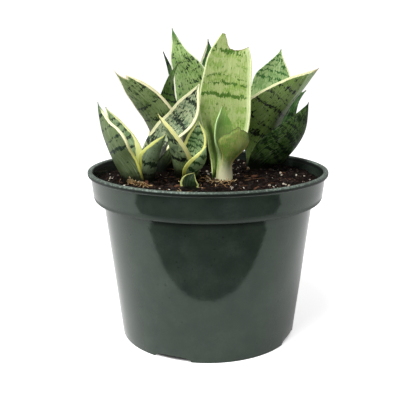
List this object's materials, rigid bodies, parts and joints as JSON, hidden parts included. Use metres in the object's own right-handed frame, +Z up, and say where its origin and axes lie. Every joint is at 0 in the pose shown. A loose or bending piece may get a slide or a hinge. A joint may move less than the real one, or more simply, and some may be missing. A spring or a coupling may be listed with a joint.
{
  "type": "potted snake plant",
  "caption": "Compact variegated snake plant: rosettes of short, folded, pointed leaves rising from soil in a round tapered nursery pot with a stepped rim and drain holes.",
  "frame": {"origin": "middle of the pot's foot, on the surface that it stands on", "axes": "+Z up, -Y towards the side that the picture shows, +X to its right"},
  "size_m": [0.152, 0.152, 0.1951],
  "materials": {
    "pot": "satin moulded plastic, dark grey-green",
    "soil": "crumbly dark potting mix with pale grains",
    "crown": "pale fleshy stem",
    "leaf": "waxy mottled dark green with cream margins",
    "pale_leaf": "waxy pale yellow-green, whiter at the foot"
  },
  "bodies": {
    "root": {"pot": "pot", "soil": "soil", "left_crown": "crown", "middle_crown": "crown", "pale_crown": "crown", "right_crown": "crown", "back_left_crown": "crown", "back_crown": "crown", "pup_crown": "crown", "left_outer_leaf_1": "leaf", "left_outer_leaf_2": "leaf", "left_inner_leaf_1": "leaf", "left_inner_leaf_2": "leaf", "middle_outer_leaf_1": "leaf", "middle_outer_leaf_2": "leaf", "middle_inner_leaf": "leaf", "pale_back_leaf": "pale_leaf", "pale_young_leaf": "pale_leaf", "pale_broken_leaf": "pale_leaf", "right_front_leaf": "leaf", "right_back_leaf": "leaf", "right_side_leaf_1": "leaf", "right_side_leaf_2": "leaf", "back_left_outer_leaf": "leaf", "back_left_inner_leaf": "leaf", "back_tall_leaf": "leaf", "back_inner_leaf": "leaf", "back_far_leaf": "leaf", "back_outer_leaf": "leaf", "back_left_low_leaf": "leaf", "pup_leaf": "leaf"}
  },
  "joints": []
}
